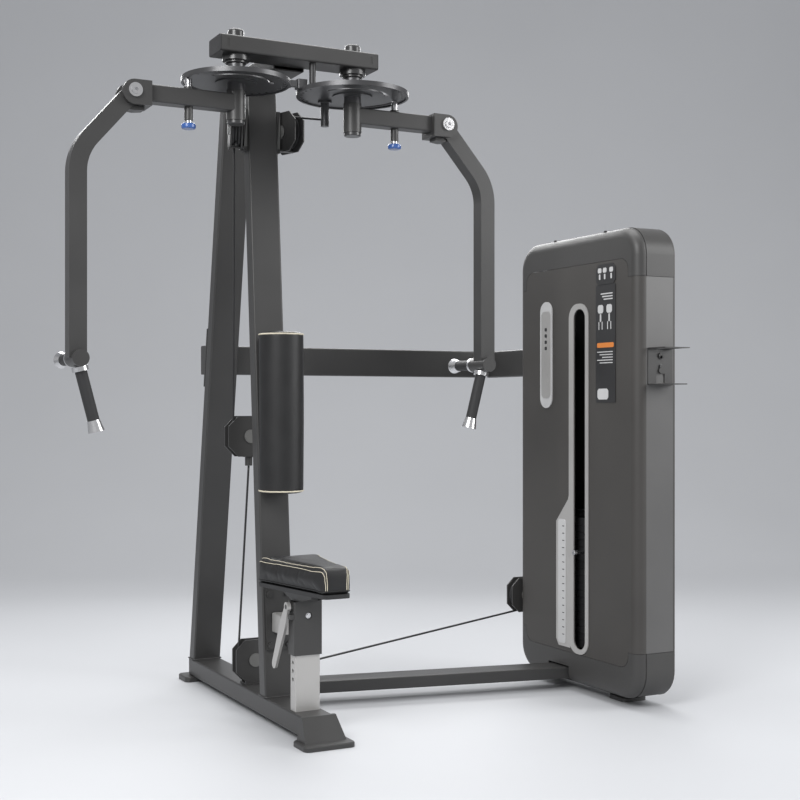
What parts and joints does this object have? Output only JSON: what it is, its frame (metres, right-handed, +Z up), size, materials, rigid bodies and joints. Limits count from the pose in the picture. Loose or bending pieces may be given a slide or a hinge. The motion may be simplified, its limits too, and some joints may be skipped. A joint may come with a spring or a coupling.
{
  "type": "pec deck machine",
  "caption": "Pec fly and rear delt machine: seat and back pad on an A-shaped frame, two hinged arms on cam discs, shrouded weight stack.",
  "frame": {"origin": "centre of the footprint, on the floor", "axes": "+Z up, +X towards the weight tower, -Y is the way the user faces when seated with their back to the pad"},
  "size_m": [1.9, 1.314, 2.1],
  "materials": {
    "frame_paint": "satin charcoal powder coat",
    "panel_grey": "matt textured dark warm grey",
    "cap_grey": "matt textured brown-grey",
    "band_grey": "satin light grey",
    "silver": "satin silver",
    "aluminium": "turned and clear anodised",
    "steel": "bright ground steel",
    "shaft": "gloss black",
    "disc": "satin metallic grey",
    "plastic_black": "fine-textured black",
    "knob_blue": "gloss blue",
    "leather": "near-black upholstery, cream seams",
    "rubber": "matt black rubber",
    "cable_black": "black coated wire rope",
    "plate_black": "black painted plate",
    "label": null
  },
  "bodies": {
    "frame": {"base_rail": "frame_paint", "foot_pads": "frame_paint", "front_leg": "frame_paint", "rear_leg": "frame_paint", "top_bar": "frame_paint", "top_beam": "frame_paint", "bar_fittings": "plastic_black", "pivot_shafts": "shaft", "flange_bearings": "shaft", "base_crossbeam": "frame_paint", "upper_crossbeam": "frame_paint", "seat_post": "silver", "seat_brace": "silver", "back_pad": "leather", "pad_mount": "plastic_black", "block_spans": "cable_black", "sheave_brackets": "frame_paint", "main_cable_rise": "cable_black", "main_cable": "cable_black", "stack_cable": "cable_black", "cam_cables": "cable_black", "tower_top_sheaves": "plastic_black", "user_side_cover": "panel_grey", "tower_caps": "cap_grey", "outer_cover": "panel_grey", "front_band": "band_grey", "rear_band": "band_grey", "slot_trim": "silver", "side_labels": "label", "bottle_holder": "frame_paint", "tower_frame": "frame_paint", "guide_rods": "steel", "stack_cushions": "rubber", "resting_plates": "plate_black"},
    "left_cam": {"left_cam": "disc"},
    "right_cam": {"right_cam": "disc"},
    "seat": {"seat_sleeve": "frame_paint", "seat_board": "plastic_black", "seat_pad": "leather"},
    "seat_lever": {"seat_lever": "silver"},
    "floating_block": {"block_frame": "frame_paint", "block_sheave": "plastic_black", "block_loop": "cable_black"},
    "lifted_stack": {"lifted_plates": "plate_black", "stack_head": "steel"},
    "selector": {"selector_pin": "steel"},
    "low_pulley": {"low_sheave": "plastic_black"},
    "tower_low_pulley": {"tower_low_sheave": "plastic_black"},
    "left_arm": {"left_swing_arm": "frame_paint", "left_arm_bolt": "aluminium"},
    "left_pin": {"left_pull_pin": "knob_blue"},
    "left_drop": {"left_drop_arm": "frame_paint", "left_grip_fittings": "aluminium"},
    "left_top_pulley": {"left_top_sheave": "plastic_black"},
    "right_arm": {"right_swing_arm": "frame_paint", "right_arm_bolt": "aluminium"},
    "right_pin": {"right_pull_pin": "knob_blue"},
    "right_drop": {"right_drop_arm": "frame_paint", "right_grip_fittings": "aluminium"},
    "right_top_pulley": {"right_top_sheave": "plastic_black"}
  },
  "joints": [
    {"name": "left_cam_swing", "type": "hinge", "parent": "frame", "child": "left_cam", "pos_m": [-0.451, -0.253, 1.944], "axis": [0, 0, 1], "range_deg": [0, 85]},
    {"name": "right_cam_swing", "type": "hinge", "parent": "frame", "child": "right_cam", "pos_m": [-0.069, -0.253, 1.944], "axis": [0, 0, 1], "range_deg": [-86, 1]},
    {"name": "left_arm_adjust", "type": "hinge", "parent": "left_cam", "child": "left_arm", "pos_m": [-0.451, -0.253, 1.879], "axis": [0, 0, 1], "range_deg": [-72, 0]},
    {"name": "right_arm_adjust", "type": "hinge", "parent": "right_cam", "child": "right_arm", "pos_m": [-0.069, -0.253, 1.879], "axis": [0, 0, 1], "range_deg": [0, 72]},
    {"name": "left_drop_pivot", "type": "hinge", "parent": "left_arm", "child": "left_drop", "pos_m": [-0.767, -0.253, 1.878], "axis": [0, 1, 0], "range_deg": [0, 15]},
    {"name": "right_drop_pivot", "type": "hinge", "parent": "right_arm", "child": "right_drop", "pos_m": [0.247, -0.253, 1.878], "axis": [0, -1, 0], "range_deg": [0, 15]},
    {"name": "left_pin_pull", "type": "slide", "parent": "left_arm", "child": "left_pin", "axis": [0, 0, -1], "range_m": [0, 0.02], "stiffness_N_per_m": 800, "springref_m": -0.02},
    {"name": "right_pin_pull", "type": "slide", "parent": "right_arm", "child": "right_pin", "axis": [0, 0, -1], "range_m": [0, 0.02], "stiffness_N_per_m": 800, "springref_m": -0.02},
    {"name": "seat_height", "type": "slide", "parent": "frame", "child": "seat", "axis": [0, 0, 1], "range_m": [-0.075, 0.05]},
    {"name": "seat_lever_lift", "type": "hinge", "parent": "seat", "child": "seat_lever", "pos_m": [-0.317, -0.328, 0.388], "axis": [1, 0, 0], "range_deg": [0, 25]},
    {"name": "block_lift", "type": "slide", "parent": "frame", "child": "floating_block", "axis": [0, 0, 1], "range_m": [-0.002, 0.1069], "deforming": ["block_spans", "main_cable_rise"]},
    {"name": "stack_lift", "type": "slide", "parent": "frame", "child": "lifted_stack", "axis": [0, 0, 1], "range_m": [-0.002, 0.1069], "deforming": ["stack_cable"]},
    {"name": "selector_pull", "type": "slide", "parent": "lifted_stack", "child": "selector", "axis": [-1, 0, 0], "range_m": [0, 0.09]},
    {"name": "left_top_pulley_turn", "type": "hinge", "parent": "frame", "child": "left_top_pulley", "pos_m": [-0.34696, 0.03415, 1.87], "axis": [-0.9594, 0.2822, 0], "range_deg": [-115.4, 115.4]},
    {"name": "right_top_pulley_turn", "type": "hinge", "parent": "frame", "child": "right_top_pulley", "pos_m": [-0.17305, 0.03415, 1.87], "axis": [-0.9594, -0.2822, 0], "range_deg": [-115.4, 115.4]},
    {"name": "low_pulley_turn", "type": "hinge", "parent": "frame", "child": "low_pulley", "pos_m": [-0.26, 0.101, 0.156], "axis": [0, 1, 0], "range_deg": [-115.4, 115.4]},
    {"name": "tower_low_pulley_turn", "type": "hinge", "parent": "frame", "child": "tower_low_pulley", "pos_m": [0.832, 0.174, 0.288], "axis": [0, 1, 0], "range_deg": [-115.4, 115.4]}
  ],
  "couplings": [
    {"joint": "right_cam_swing", "follows": "left_cam_swing", "ratio": -1},
    {"joint": "block_lift", "follows": "left_cam_swing", "m_per_rad": 0.07071},
    {"joint": "stack_lift", "follows": "left_cam_swing", "m_per_rad": 0.07071},
    {"joint": "left_top_pulley_turn", "follows": "left_cam_swing", "ratio": 1.3341},
    {"joint": "right_top_pulley_turn", "follows": "left_cam_swing", "ratio": 1.3341},
    {"joint": "low_pulley_turn", "follows": "left_cam_swing", "ratio": 1.3341},
    {"joint": "tower_low_pulley_turn", "follows": "left_cam_swing", "ratio": 1.3341}
  ]
}
